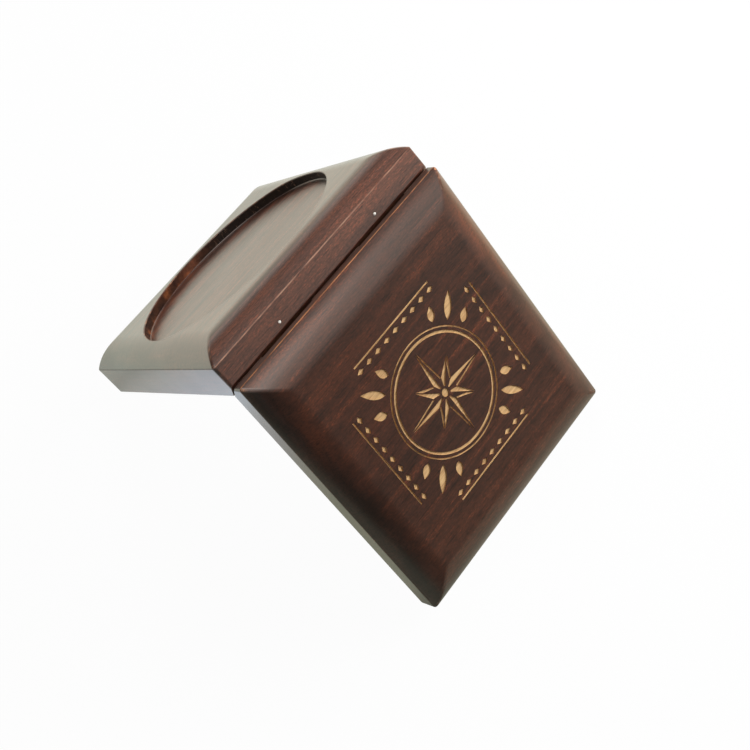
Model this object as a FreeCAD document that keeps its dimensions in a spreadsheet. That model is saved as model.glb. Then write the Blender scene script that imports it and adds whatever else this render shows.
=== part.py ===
import FreeCAD, Part
import os
import re
import Sketcher

# A hinged two-leaf wooden medal case, stood open like a tent.
# One leaf carries a round medal recess, the other a plain crowned face.
# All sizes are millimetres, +Z is up, and the spine runs along X.

doc = FreeCAD.newDocument("medal_case")
sizes = doc.addObject("Spreadsheet::Sheet", "sizes")

SIZES = {
    "spine_length": 85.3,
    "leaf_reach": 91.8,
    "opening_angle": 83.5,
    "recess_edge_height": 10.0,
    "crest_edge_height": 6.1,
    "crown_width": 10.0,
    "crown_rise": 4.8,
    "leaf_gap": 0.3,
    "bevel": 3.2,
    "medal_diameter": 70.0,
    "medal_clearance": 0.35,
    "recess_depth": 3.0,
    "hinge_length": 20.0,
    "hinge_share": 0.243,
    "barrel_radius": 1.5,
    "end_knuckle_length": 6.0,
    "knuckle_gap": 0.3,
    "pin_radius": 0.6,
    "pin_clearance": 0.05,
    "pin_head_radius": 0.9,
    "pin_head_length": 0.25,
    "wing_thickness": 0.8,
    "recess_wing_height": 7.5,
    "crest_wing_height": 5.5,
    "slot_clearance": 0.4,
    "slot_relief": 0.5,
    "kerf_clearance": 0.05,
    "brad_radius": 0.4,
    "brad_length": 8.0,
    "brad_point": 1.5,
    "magnet_radius": 3.0,
    "magnet_thickness": 2.0,
    "magnet_rim": 0.3,
    "magnet_setback": 0.1,
    "magnet_end_inset": 13.0,
    "magnet_free_inset": 8.0,
    "pocket_clearance": 0.05,
}
for row, (alias, value) in enumerate(SIZES.items(), start=1):
    sizes.set("A%d" % row, alias)
    sizes.set("B%d" % row, str(value))
    sizes.setAlias("B%d" % row, alias)
doc.recompute()


def size(text):
    """Turn every known size name in an expression into a sheet reference."""
    return re.sub(r"[a-z_]+", lambda word: ("<<sizes>>." if word[0] in SIZES else "") + word[0], text)


def bind(obj, rules):
    """Bind properties to expressions written with the sheet's own names."""
    for name, text in rules.items():
        obj.setExpression(name, size(text))
    return obj


HALF_GAP = "leaf_gap / 2"
FREE_EDGE = "leaf_reach - bevel"
EDGE_FACE = "0 - bevel"
BEVEL_ANGLE = 45
SQUARE_ANGLE = 90
ALONG_X = FreeCAD.Rotation(FreeCAD.Vector(0, 1, 0), SQUARE_ANGLE)
ALONG_Y = FreeCAD.Rotation(FreeCAD.Vector(1, 0, 0), -SQUARE_ANGLE)
BEVEL_TILT = FreeCAD.Rotation(FreeCAD.Vector(1, 0, 0), BEVEL_ANGLE)
THIRD_TURN = 120
SECTION_ACROSS = FreeCAD.Rotation(FreeCAD.Vector(1, 1, 1), THIRD_TURN)
SECTION_ALONG = FreeCAD.Rotation(FreeCAD.Vector(1, 0, 0), SQUARE_ANGLE)
FIRST_BULGE = 0.1


def box(name, lengths, corner, turn=None):
    """A block given by its three lengths and its lowest corner, turned about that corner."""
    solid = doc.addObject("Part::Box", name)
    if turn:
        solid.Placement = FreeCAD.Placement(FreeCAD.Vector(), turn)
    bind(solid, dict(zip(("Length", "Width", "Height"), lengths)))
    axes = ("Placement.Base.x", "Placement.Base.y", "Placement.Base.z")
    return bind(solid, dict(zip(axes, corner)))


def cylinder(name, radius, height, start, turn=None):
    """A round bar or hole; turn lays its axis along X or Y."""
    solid = doc.addObject("Part::Cylinder", name)
    if turn:
        solid.Placement = FreeCAD.Placement(FreeCAD.Vector(), turn)
    bind(solid, {"Radius": radius, "Height": height})
    axes = ("Placement.Base.x", "Placement.Base.y", "Placement.Base.z")
    return bind(solid, dict(zip(axes, start)))


def fuse(name, shapes):
    joined = doc.addObject("Part::MultiFuse", name)
    joined.Shapes = shapes
    return joined


def cut(name, base, tools):
    """Take one tool, or several joined into one, away from a base."""
    result = doc.addObject("Part::Cut", name)
    result.Base = base
    result.Tool = tools[0] if len(tools) == 1 else fuse(name + "_tools", tools)
    return result


def section(name, turn, corners, arcs):
    """A closed outline, run anticlockwise; arcs maps each crown arc to the flat side it runs into.

    A corner whose sideways rule is None lies on the outline's own upright axis.
    """
    sketch = doc.addObject("Sketcher::SketchObject", name)
    sketch.Placement = FreeCAD.Placement(FreeCAD.Vector(), turn)
    spots = [FreeCAD.Vector(x, y, 0) for x, y, _, _ in corners]
    count = len(corners)
    ends = []
    for side in range(count):
        here, there = spots[side], spots[(side + 1) % count]
        if side in arcs:
            chord = there - here
            bulge = FreeCAD.Vector(chord.y, -chord.x, 0) * FIRST_BULGE
            sketch.addGeometry(Part.Arc(here, (here + there) * 0.5 + bulge, there), False)
        else:
            sketch.addGeometry(Part.LineSegment(here, there), False)
        line = sketch.Geometry[side]
        forward = (line.StartPoint - here).Length < (line.EndPoint - here).Length
        ends.append((1, 2) if forward else (2, 1))
    for side in range(count):
        after = (side + 1) % count
        smooth = arcs.get(side) == after or arcs.get(after) == side
        kind = "Tangent" if smooth else "Coincident"
        sketch.addConstraint(Sketcher.Constraint(kind, side, ends[side][1], after, ends[after][0]))
    for side, (x, y, across, up) in enumerate(corners):
        for kind, value, rule in (("DistanceX", x, across), ("DistanceY", y, up)):
            if rule is None:
                sketch.addConstraint(Sketcher.Constraint("PointOnObject", side, ends[side][0], -2))
                continue
            index = sketch.addConstraint(Sketcher.Constraint(kind, -1, 1, side, ends[side][0], value))
            sketch.setExpression("Constraints[%d]" % index, size(rule))
    return sketch


def extrude(name, sketch, direction, length):
    """Run a section out evenly to both sides of its plane."""
    solid = doc.addObject("Part::Extrusion", name)
    solid.Base = sketch
    solid.DirMode = "Custom"
    solid.Dir = direction
    solid.Solid = True
    solid.Symmetric = True
    return bind(solid, {"LengthFwd": length})


def crowned_block(name, edge_height):
    """Flat inner face, upright edges, outer face crowned on all four sides.

    The pivot line is the local X axis; the leaf reaches out along +Y and its outer face is +Z.
    """
    half = SIZES["spine_length"] / 2
    bevel = SIZES["bevel"]
    reach = SIZES["leaf_reach"] - bevel
    width = SIZES["crown_width"]
    inner = SIZES["leaf_gap"] / 2
    edge = inner + SIZES[edge_height]
    top = edge + SIZES["crown_rise"]
    level = {"inner": HALF_GAP, "edge": HALF_GAP + " + " + edge_height}
    level["top"] = level["edge"] + " + crown_rise"
    across = section(name + "_across", SECTION_ACROSS, [
        (0, inner, None, level["inner"]),
        (reach, inner, FREE_EDGE, level["inner"]),
        (reach, edge, FREE_EDGE, level["edge"]),
        (reach - width, top, FREE_EDGE + " - crown_width", level["top"]),
        (width - bevel, top, "crown_width - bevel", level["top"]),
        (-bevel, edge, EDGE_FACE, level["edge"]),
        (-bevel, inner + bevel, EDGE_FACE, level["inner"] + " + bevel"),
    ], {2: 3, 4: 3})
    along = section(name + "_along", SECTION_ALONG, [
        (-half, inner, "0 - spine_length / 2", level["inner"]),
        (half, inner, "spine_length / 2", level["inner"]),
        (half, edge, "spine_length / 2", level["edge"]),
        (half - width, top, "spine_length / 2 - crown_width", level["top"]),
        (width - half, top, "crown_width - spine_length / 2", level["top"]),
        (-half, edge, "0 - spine_length / 2", level["edge"]),
    ], {2: 3, 4: 3})
    block = doc.addObject("Part::MultiCommon", name + "_block")
    block.Shapes = [
        extrude(name + "_run", across, FreeCAD.Vector(1, 0, 0), "spine_length"),
        extrude(name + "_cross", along, FreeCAD.Vector(0, 1, 0), "3 * leaf_reach"),
    ]
    return block


HINGE_SIDES = {"near": "0 - hinge_share * spine_length", "far": "hinge_share * spine_length"}
WING_FACE = "barrel_radius - wing_thickness"


def hinge_room(name, spot, wing_height, eased):
    """Barrel slot and wing kerf cut into a leaf for one hinge; the crest leaf's bevel is also eased there."""
    start = spot + " - hinge_length / 2 - slot_clearance"
    length = "hinge_length + 2 * slot_clearance"
    slot = cylinder(name + "_slot", "barrel_radius + slot_clearance", length, (start, "0", "0"), ALONG_X)
    kerf_length = "hinge_length + 2 * kerf_clearance"
    kerf_width = "wing_thickness + 2 * kerf_clearance"
    kerf = box(
        name + "_kerf",
        (kerf_length, kerf_width, wing_height + " + kerf_clearance"),
        (spot + " - hinge_length / 2 - kerf_clearance", WING_FACE + " - kerf_clearance", "0"),
    )
    if not eased:
        return [slot, kerf]
    # The eased bevel is a block laid square on the bevel face, reaching past both its edges.
    relief = box(
        name + "_relief",
        (length, "bevel + slot_relief", "3 * bevel"),
        (start, "0", HALF_GAP + " - bevel * sqrt(2)"),
        BEVEL_TILT,
    )
    return [slot, kerf, relief]


BRAD_HEIGHT = HALF_GAP + " + recess_edge_height / 2"


def cone(name, radius, height, start, turn=None):
    """A point or a bevelled rim that narrows away from its start."""
    solid = doc.addObject("Part::Cone", name)
    if turn:
        solid.Placement = FreeCAD.Placement(FreeCAD.Vector(), turn)
    bind(solid, {"Radius1": radius[0], "Radius2": radius[1], "Height": height})
    axes = ("Placement.Base.x", "Placement.Base.y", "Placement.Base.z")
    return bind(solid, dict(zip(axes, start)))


def brad(name, spot):
    """A headless steel pin driven square into the recess leaf's edge face, flush with it."""
    shank = "brad_length - brad_point"
    return fuse(name, [
        cylinder(name + "_shank", "brad_radius", shank, (spot, EDGE_FACE, BRAD_HEIGHT), ALONG_Y),
        cone(
            name + "_point",
            ("brad_radius", "brad_radius / 4"),
            "brad_point",
            (spot, shank + " - bevel", BRAD_HEIGHT),
            ALONG_Y,
        ),
    ])


def magnet_spot(side):
    sign = "0 - " if side == "near" else ""
    across = sign + "( spine_length / 2 - magnet_end_inset )"
    return across, FREE_EDGE + " - magnet_free_inset"


def leaf_tools(leaf, wing_height, eased):
    """What both leaves have let into them: hinge rooms and magnet pockets."""
    tools = []
    for side, spot in HINGE_SIDES.items():
        tools += hinge_room("%s_%s" % (leaf, side), spot, wing_height, eased)
        across, out = magnet_spot(side)
        tools.append(cylinder(
            "%s_%s_pocket" % (leaf, side),
            "magnet_radius + pocket_clearance",
            HALF_GAP + " + magnet_setback + magnet_thickness",
            (across, out, "0"),
        ))
    return tools


recess_tools = leaf_tools("recess", "recess_wing_height", False)
recess_tools += [brad("%s_brad_hole" % side, spot) for side, spot in HINGE_SIDES.items()]
recess_tools.append(cylinder(
    "medal_recess",
    "medal_diameter / 2 + medal_clearance",
    "recess_depth + crown_rise",
    ("0", "leaf_reach / 2 - bevel", HALF_GAP + " + recess_edge_height + crown_rise - recess_depth"),
))
recess_leaf = cut("recess_leaf", crowned_block("recess", "recess_edge_height"), recess_tools)
crest_tools = leaf_tools("crest", "crest_wing_height", True)
crest_leaf = cut("crest_leaf", crowned_block("crest", "crest_edge_height"), crest_tools)

MIDDLE_KNUCKLE = "hinge_length - 2 * end_knuckle_length - 2 * knuckle_gap"


def barrel(name, radius, start, length):
    return cylinder(name, radius, length, (start, "0", "0"), ALONG_X)


def wing(name, spot, wing_height, owns_ends):
    """Half a hinge: an upright plate in the kerf with its knuckles rolled round the pin.

    The half that owns the end knuckles holds the pin tight and is crossed by a brad.
    """
    first = spot + " - hinge_length / 2"
    middle = first + " + end_knuckle_length + knuckle_gap"
    last = spot + " + hinge_length / 2 - end_knuckle_length"
    ends = [(first, "end_knuckle_length"), (last, "end_knuckle_length")]
    centre = [(middle, MIDDLE_KNUCKLE)]
    own, other = (ends, centre) if owns_ends else (centre, ends)
    plate = box(name + "_plate", ("hinge_length", "wing_thickness", wing_height), (first, WING_FACE, "0"))
    room = []
    for index, (start, length) in enumerate(other):
        room.append(barrel(
            "%s_room_%d" % (name, index),
            "barrel_radius + slot_clearance",
            start + " - knuckle_gap",
            length + " + 2 * knuckle_gap",
        ))
    notched = cut(name + "_notched", plate, room)
    rolls = [barrel("%s_roll_%d" % (name, i), "barrel_radius", s, n) for i, (s, n) in enumerate(own)]
    bore = "pin_radius" if owns_ends else "pin_radius + pin_clearance"
    holes = [barrel(name + "_bore", bore, first, "hinge_length")]
    if owns_ends:
        hole = "brad_radius + kerf_clearance"
        mouth = (spot, EDGE_FACE, BRAD_HEIGHT)
        holes.append(cylinder(name + "_brad_hole", hole, "brad_length", mouth, ALONG_Y))
    return cut(name, fuse(name + "_rolled", [notched] + rolls), holes)


def magnet(name, side):
    """A small disc magnet glued into the inner face, its rim bevelled."""
    across, out = magnet_spot(side)
    floor = HALF_GAP + " + magnet_setback"
    disc = cylinder(
        name + "_disc",
        "magnet_radius",
        "magnet_thickness - magnet_rim",
        (across, out, floor),
    )
    rim = cone(
        name + "_rim",
        ("magnet_radius", "magnet_radius - magnet_rim"),
        "magnet_rim",
        (across, out, floor + " + magnet_thickness - magnet_rim"),
    )
    return fuse(name, [disc, rim])


def hinge_pin(name, spot):
    """The steel pin through the knuckles, peened over at both ends."""
    first = spot + " - hinge_length / 2"
    last = spot + " + hinge_length / 2"
    return fuse(name, [
        barrel(name + "_shank", "pin_radius", first, "hinge_length"),
        barrel(name + "_head_0", "pin_head_radius", first + " - pin_head_length", "pin_head_length"),
        barrel(name + "_head_1", "pin_head_radius", last, "pin_head_length"),
    ])


recess_side = [recess_leaf]
crest_side = [crest_leaf]
for side, spot in HINGE_SIDES.items():
    recess_side += [
        wing("recess_wing_" + side, spot, "recess_wing_height", True),
        hinge_pin("hinge_pin_" + side, spot),
        brad("recess_brad_" + side, spot),
        magnet("recess_magnet_" + side, side),
    ]
    crest_side += [
        wing("crest_wing_" + side, spot, "crest_wing_height", False),
        magnet("crest_magnet_" + side, side),
    ]

# Both leaves stand on their free edges, leaning together at the pivot line.
# The crest side is shaped like the recess side and then turned to face the other way.
HALF_OPENING = "opening_angle / 2 * 1deg"
LEAN_COSINE = " * cos(" + HALF_OPENING + ")"
LEAN_SINE = " * sin(" + HALF_OPENING + ")"
PIVOT_PLACE = {
    "Placement.Base.y": "( crest_edge_height - recess_edge_height )" + LEAN_COSINE + " / 2",
    "Placement.Base.z": "( " + FREE_EDGE + " )" + LEAN_COSINE + " - leaf_gap / 2" + LEAN_SINE,
    "Placement.Rotation.Angle": "90deg - " + HALF_OPENING,
}


def stand(piece, axis):
    """Lean a finished piece over at half the opening angle, on the pivot line."""
    piece.Placement = FreeCAD.Placement(FreeCAD.Vector(), FreeCAD.Rotation(axis, SQUARE_ANGLE / 2))
    return bind(piece, PIVOT_PLACE)


nodes = {}
for piece in recess_side:
    nodes[piece.Name] = stand(piece, FreeCAD.Vector(-1, 0, 0))
for piece in crest_side:
    facing = doc.addObject("Part::Mirroring", piece.Name + "_facing")
    facing.Source = piece
    facing.Normal = FreeCAD.Vector(0, 1, 0)
    nodes[piece.Name] = stand(facing, FreeCAD.Vector(1, 0, 0))
doc.recompute()

for name, piece in nodes.items():
    if piece.Name != name:
        doc.getObject(name).Label = name + "_shaped"
    piece.Label = name
for item in doc.Objects:
    if "Invalid" in item.State or "Error" in item.State:
        raise RuntimeError("%s did not build: %s" % (item.Name, item.State))
for name, piece in nodes.items():
    shape = piece.Shape
    if shape.isNull() or not shape.isValid() or len(shape.Solids) != 1:
        raise RuntimeError("%s is not one sound solid" % name)

os.makedirs("parts", exist_ok=True)
for name, piece in nodes.items():
    piece.Shape.exportStep("parts/%s.step" % name)
    print("%-20s %9.1f mm3" % (name, piece.Shape.Volume))
print("pivot line", recess_leaf.Placement.Base)
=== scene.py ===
import math

import bmesh
import bpy
from mathutils import Matrix, Vector


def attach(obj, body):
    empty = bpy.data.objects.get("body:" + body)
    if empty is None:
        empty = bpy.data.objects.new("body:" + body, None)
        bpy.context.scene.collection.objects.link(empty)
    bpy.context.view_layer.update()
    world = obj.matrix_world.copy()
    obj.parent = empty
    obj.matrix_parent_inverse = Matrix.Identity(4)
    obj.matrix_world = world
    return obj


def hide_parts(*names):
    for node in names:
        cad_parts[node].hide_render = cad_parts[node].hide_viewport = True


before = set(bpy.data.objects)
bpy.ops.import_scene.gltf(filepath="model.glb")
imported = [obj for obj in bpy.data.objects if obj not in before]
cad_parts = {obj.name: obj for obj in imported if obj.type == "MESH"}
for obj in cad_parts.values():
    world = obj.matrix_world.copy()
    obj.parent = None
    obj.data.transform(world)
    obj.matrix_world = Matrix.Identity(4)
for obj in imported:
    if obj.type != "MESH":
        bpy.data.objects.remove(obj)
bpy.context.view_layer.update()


# Recess leaf: the thicker half of the case, one block of beech stained dark red-brown and varnished.
# Its outer face is moulded to a low crown on all four sides, and a round seat for a medal is
# turned into it. The hinge edge is bevelled on its inner corner, where the hinges are let in.
MM = 0.001
LEAF_LENGTH = 85.3 * MM
LEAF_REACH = 91.8 * MM
HINGE_BEVEL = 3.2 * MM
HALF_GAP = 0.15 * MM
CROWN_WIDTH = 10.0 * MM
CROWN_RISE = 4.8 * MM
CROWN_STEPS = 14
CORNER_ROUNDING = 1.0 * MM
ARRIS_EASING = 0.2 * MM
SHARP_TURN = math.radians(30)
RIDGE_LINE = Vector((0.0, -1.454812, 66.000801)) * MM
LEAN = math.radians(90.0 - 83.5 / 2)
LEAF_MIDDLE = LEAF_REACH / 2 - HINGE_BEVEL
HINGE_SPOTS = {"near": -20.728 * MM, "far": 20.728 * MM}
BARREL_SLOT_RADIUS = 1.9 * MM
BARREL_SLOT_LENGTH = 20.8 * MM
KERF_LENGTH = 20.1 * MM
KERF_WIDTH = 0.9 * MM
KERF_MIDDLE = 1.1 * MM
EASED_BEVEL_WIDTH = 3.7 * MM
EASED_BEVEL_REACH = 9.6 * MM
EASED_BEVEL_MIDDLE = Vector((0.0, -2.0860, 0.3267)) * MM
MAGNET_POCKET_RADIUS = 3.05 * MM
MAGNET_POCKET_DEPTH = 2.25 * MM
MAGNET_SPOT = Vector((29.65, 80.6, 0.0)) * MM
STAIN, EASED_ARRIS, HINGE_ARRIS = 0, 1, 2


def pick(piece):
    """Make one piece the only selected and active one."""
    bpy.ops.object.select_all(action="DESELECT")
    piece.select_set(True)
    bpy.context.view_layer.objects.active = piece


def open_mesh(piece, kind):
    """Go into edit mode with nothing picked and return the open mesh."""
    pick(piece)
    bpy.ops.object.mode_set(mode="EDIT")
    bpy.ops.mesh.select_mode(type=kind)
    bpy.ops.mesh.select_all(action="DESELECT")
    return bmesh.from_edit_mesh(piece.data)


def crowned_leaf(name, edge_height, finishes):
    """Saw the block, round its plan corners, bevel the hinge corner and mould the crown.

    The finishes are put on first, because the eased arrises and the worn mitres take the second of them
    and the inner face takes the last.
    """
    middle = Vector((0.0, LEAF_MIDDLE, HALF_GAP + edge_height / 2))
    bpy.ops.object.select_all(action="DESELECT")
    bpy.ops.mesh.primitive_cube_add(
        size=1.0, location=middle, scale=(LEAF_LENGTH, LEAF_REACH, edge_height))
    leaf = bpy.context.object
    leaf.name = name
    for finish in finishes:
        leaf.data.materials.append(finish)
    bpy.ops.object.transform_apply(location=True, rotation=True, scale=True)
    block = open_mesh(leaf, "EDGE")
    for edge in block.edges:
        run = edge.verts[0].co - edge.verts[1].co
        edge.select_set(abs(run.z) > edge_height / 2)
    bmesh.update_edit_mesh(leaf.data)
    bpy.ops.mesh.bevel(offset=CORNER_ROUNDING, segments=4, affect="EDGES")
    bpy.ops.mesh.select_all(action="SELECT")
    bpy.ops.mesh.bisect(
        plane_co=(0.0, 0.0, HALF_GAP), plane_no=(0.0, -1.0, -1.0), use_fill=True, clear_outer=True)
    bpy.ops.mesh.select_mode(type="FACE")
    bpy.ops.mesh.select_all(action="DESELECT")
    block = bmesh.from_edit_mesh(leaf.data)
    for face in block.faces:
        face.select_set(face.normal.z > 0.9)
    bmesh.update_edit_mesh(leaf.data)
    radius = (CROWN_WIDTH ** 2 + CROWN_RISE ** 2) / (2 * CROWN_RISE)
    slope = math.asin(CROWN_WIDTH / radius)
    inset, height = 0.0, 0.0
    for step in range(1, CROWN_STEPS + 1):
        turn = slope * (1 - step / CROWN_STEPS)
        next_inset = CROWN_WIDTH - radius * math.sin(turn)
        next_height = CROWN_RISE - radius * (1 - math.cos(turn))
        bpy.ops.mesh.extrude_region_move(
            TRANSFORM_OT_translate={"value": (0.0, 0.0, next_height - height)})
        shrink_x = (LEAF_LENGTH / 2 - next_inset) / (LEAF_LENGTH / 2 - inset)
        shrink_y = (LEAF_REACH / 2 - next_inset) / (LEAF_REACH / 2 - inset)
        bpy.ops.transform.resize(
            value=(shrink_x, shrink_y, 1.0), center_override=(0.0, LEAF_MIDDLE, HALF_GAP + edge_height))
        inset, height = next_inset, next_height
    block = bmesh.from_edit_mesh(leaf.data)
    for face in block.faces:
        across, out = abs(face.normal.x), abs(face.normal.y)
        sloping = 0.1 < face.normal.z < 0.95
        diagonal = min(across, out) > 0.5 * max(across, out)
        if face.normal.z < -0.9:
            face.material_index = len(finishes) - 1
        else:
            face.material_index = EASED_ARRIS if sloping and diagonal else STAIN
    bmesh.update_edit_mesh(leaf.data)
    bpy.ops.mesh.select_mode(type="EDGE")
    bpy.ops.mesh.select_all(action="DESELECT")
    bpy.ops.mesh.edges_select_sharp(sharpness=SHARP_TURN)
    bpy.ops.mesh.bevel(offset=ARRIS_EASING, segments=2, affect="EDGES", material=EASED_ARRIS)
    bpy.ops.object.mode_set(mode="OBJECT")
    return leaf


def let_in(leaf, tool, many_shapes=False):
    """Cut one tool's shape out of a leaf and throw the tool away."""
    pick(leaf)
    cut = leaf.modifiers.new("let_in", "BOOLEAN")
    cut.operation = "DIFFERENCE"
    cut.solver = "EXACT"
    cut.material_mode = "TRANSFER"
    cut.use_self = many_shapes
    cut.object = tool
    bpy.ops.object.modifier_apply(modifier=cut.name)
    bpy.data.objects.remove(tool)


def round_tool(radius, length, middle, turn=(0.0, 0.0, 0.0), sides=48):
    """A drill or barrel of the given size, as a shape to cut with."""
    bpy.ops.object.select_all(action="DESELECT")
    bpy.ops.mesh.primitive_cylinder_add(
        vertices=sides, radius=radius, depth=length, location=middle, rotation=turn)
    return bpy.context.object


def block_tool(lengths, middle, turn=(0.0, 0.0, 0.0)):
    """A block of the given size, as a shape to cut with."""
    bpy.ops.object.select_all(action="DESELECT")
    bpy.ops.mesh.primitive_cube_add(size=1.0, location=middle, rotation=turn, scale=lengths)
    return bpy.context.object


def let_in_fittings(leaf, kerf_height, eased):
    """Barrel slots and kerfs for the two hinges, an eased bevel beside them, and pockets for two magnets."""
    kerf = (KERF_LENGTH, KERF_WIDTH, kerf_height)
    eased_bevel = (BARREL_SLOT_LENGTH, EASED_BEVEL_WIDTH, EASED_BEVEL_REACH)
    for spot in HINGE_SPOTS.values():
        along = Vector((spot, 0.0, 0.0))
        let_in(leaf, round_tool(BARREL_SLOT_RADIUS, BARREL_SLOT_LENGTH, along, (0.0, math.radians(90), 0.0)))
        let_in(leaf, block_tool(kerf, (spot, KERF_MIDDLE, kerf_height / 2)))
        if eased:
            let_in(leaf, block_tool(eased_bevel, along + EASED_BEVEL_MIDDLE, (math.radians(45), 0.0, 0.0)))
    for side in (-1, 1):
        middle = (side * MAGNET_SPOT.x, MAGNET_SPOT.y, MAGNET_POCKET_DEPTH / 2)
        let_in(leaf, round_tool(MAGNET_POCKET_RADIUS, MAGNET_POCKET_DEPTH, middle))


def stand_up(leaf, half_turn):
    """Smooth the moulded faces, then lean the leaf over on the ridge line and fix its place in its mesh."""
    pick(leaf)
    bpy.ops.object.shade_smooth_by_angle(angle=SHARP_TURN)
    even = leaf.modifiers.new("even_shading", "WEIGHTED_NORMAL")
    even.keep_sharp = True
    bpy.ops.object.modifier_apply(modifier=even.name)
    leaf.rotation_euler = (-LEAN, 0.0, half_turn)
    leaf.location = RIDGE_LINE
    bpy.ops.object.transform_apply(location=True, rotation=True, scale=True)


def add_node(tree, kind, **settings):
    """Add a shading node; lower-case words are its properties, capitalised ones its sockets."""
    made = tree.nodes.new(kind)
    for word, value in settings.items():
        if word[0].islower():
            setattr(made, word, value)
        else:
            made.inputs[word.replace("_", " ")].default_value = value
    return made


def grain_noise(tree, place, along, across, detail, shift, layers=1.0):
    """Noise drawn out along the spine, as wood fibre is; along and across are counts per metre.

    Layers packs it that many times closer through the board's thickness, as growth rings lie.
    """
    stretch = add_node(tree, "ShaderNodeMapping", Scale=(along, across, across * layers), Location=shift)
    noise = add_node(tree, "ShaderNodeTexNoise", Scale=1.0, Detail=detail, Roughness=0.6)
    tree.links.new(place, stretch.inputs["Vector"])
    tree.links.new(stretch.outputs["Vector"], noise.inputs["Vector"])
    return noise.outputs["Fac"]


def wandering_grain(tree, wander, lean=0.0):
    """The place on the piece, pushed a little sideways here and there so that the grain runs unevenly.

    With a lean it is turned to the board, so that its third axis runs through the thickness.
    """
    place = tree.nodes.new("ShaderNodeTexCoord").outputs["Object"]
    if lean:
        board = add_node(tree, "ShaderNodeMapping", Rotation=(lean, 0.0, 0.0))
        tree.links.new(place, board.inputs["Vector"])
        place = board.outputs["Vector"]
    drift = add_node(tree, "ShaderNodeTexNoise", Scale=28.0, Detail=2.0)
    centred = add_node(tree, "ShaderNodeVectorMath", operation="SUBTRACT")
    centred.inputs[1].default_value = (0.5, 0.5, 0.5)
    pushed = add_node(tree, "ShaderNodeVectorMath", operation="MULTIPLY_ADD")
    pushed.inputs[1].default_value = (wander, wander, wander)
    tree.links.new(place, drift.inputs["Vector"])
    tree.links.new(drift.outputs["Color"], centred.inputs[0])
    tree.links.new(centred.outputs[0], pushed.inputs[0])
    tree.links.new(place, pushed.inputs[2])
    return pushed.outputs[0]


def ramp(tree, source, stops):
    """A colour ramp from (position, colour) stops."""
    made = tree.nodes.new("ShaderNodeValToRGB")
    band = made.color_ramp
    band.elements[0].position, band.elements[0].color = stops[0][0], (*stops[0][1], 1.0)
    band.elements[1].position, band.elements[1].color = stops[-1][0], (*stops[-1][1], 1.0)
    for position, colour in stops[1:-1]:
        band.elements.new(position).color = (*colour, 1.0)
    tree.links.new(source, made.inputs["Fac"])
    return made.outputs["Color"]


def blend(tree, mode, amount, under, over):
    """Lay one colour over another; amount is a number or a socket, and under a plain colour or a socket.

    The Mix node's colours are its inputs 6 and 7 and its output 2.
    """
    made = tree.nodes.new("ShaderNodeMix")
    made.data_type = "RGBA"
    made.blend_type = mode
    if isinstance(amount, float):
        made.inputs[0].default_value = amount
    else:
        tree.links.new(amount, made.inputs[0])
    if isinstance(under, tuple):
        made.inputs[6].default_value = (*under, 1.0)
    else:
        tree.links.new(under, made.inputs[6])
    tree.links.new(over, made.inputs[7])
    return made.outputs[2]


def satin_varnish(tree, surface, pores):
    """Clear varnish that sinks a little into the pores."""
    relief = add_node(tree, "ShaderNodeBump", Strength=0.12, Distance=0.03 * MM)
    tree.links.new(pores, relief.inputs["Height"])
    tree.links.new(relief.outputs["Normal"], surface.inputs["Normal"])
    surface.inputs["IOR"].default_value = 1.55
    surface.inputs["Coat Weight"].default_value = 1.0
    surface.inputs["Coat Roughness"].default_value = 0.2
    surface.inputs["Coat IOR"].default_value = 1.7


def end_grain(tree, shift, lean, dark, middle, red):
    """Wood cut across the fibre: growth rings in layers, pores as dots and fine rays."""
    place = wandering_grain(tree, 5.0 * MM, lean)
    rings = grain_noise(tree, place, 10.0, 34.0, 3.0, shift, 22.0)
    zones = grain_noise(tree, place, 10.0, 40.0, 2.0, shift, 5.0)
    pores = grain_noise(tree, place, 300.0, 2600.0, 2.0, shift)
    rays = grain_noise(tree, place, 200.0, 2400.0, 2.0, shift, 0.16)
    tones = [tuple(part * 1.1 for part in tone) for tone in (dark, middle, red)]
    colour = ramp(tree, zones, list(zip((0.34, 0.5, 0.68), tones)))
    ring_shade = ramp(tree, rings, [
        (0.36, (0.72, 0.70, 0.70)), (0.5, (1.0, 1.0, 1.0)), (0.64, (1.30, 1.22, 1.18))])
    colour = blend(tree, "MULTIPLY", 1.0, colour, ring_shade)
    ray_shade = ramp(tree, rays, [(0.4, (0.94, 0.94, 0.94)), (0.66, (1.28, 1.22, 1.18))])
    colour = blend(tree, "MULTIPLY", 1.0, colour, ray_shade)
    pore_shade = ramp(tree, pores, [(0.36, (0.50, 0.48, 0.48)), (0.5, (1.05, 1.05, 1.05))])
    return blend(tree, "MULTIPLY", 1.0, colour, pore_shade)


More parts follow.
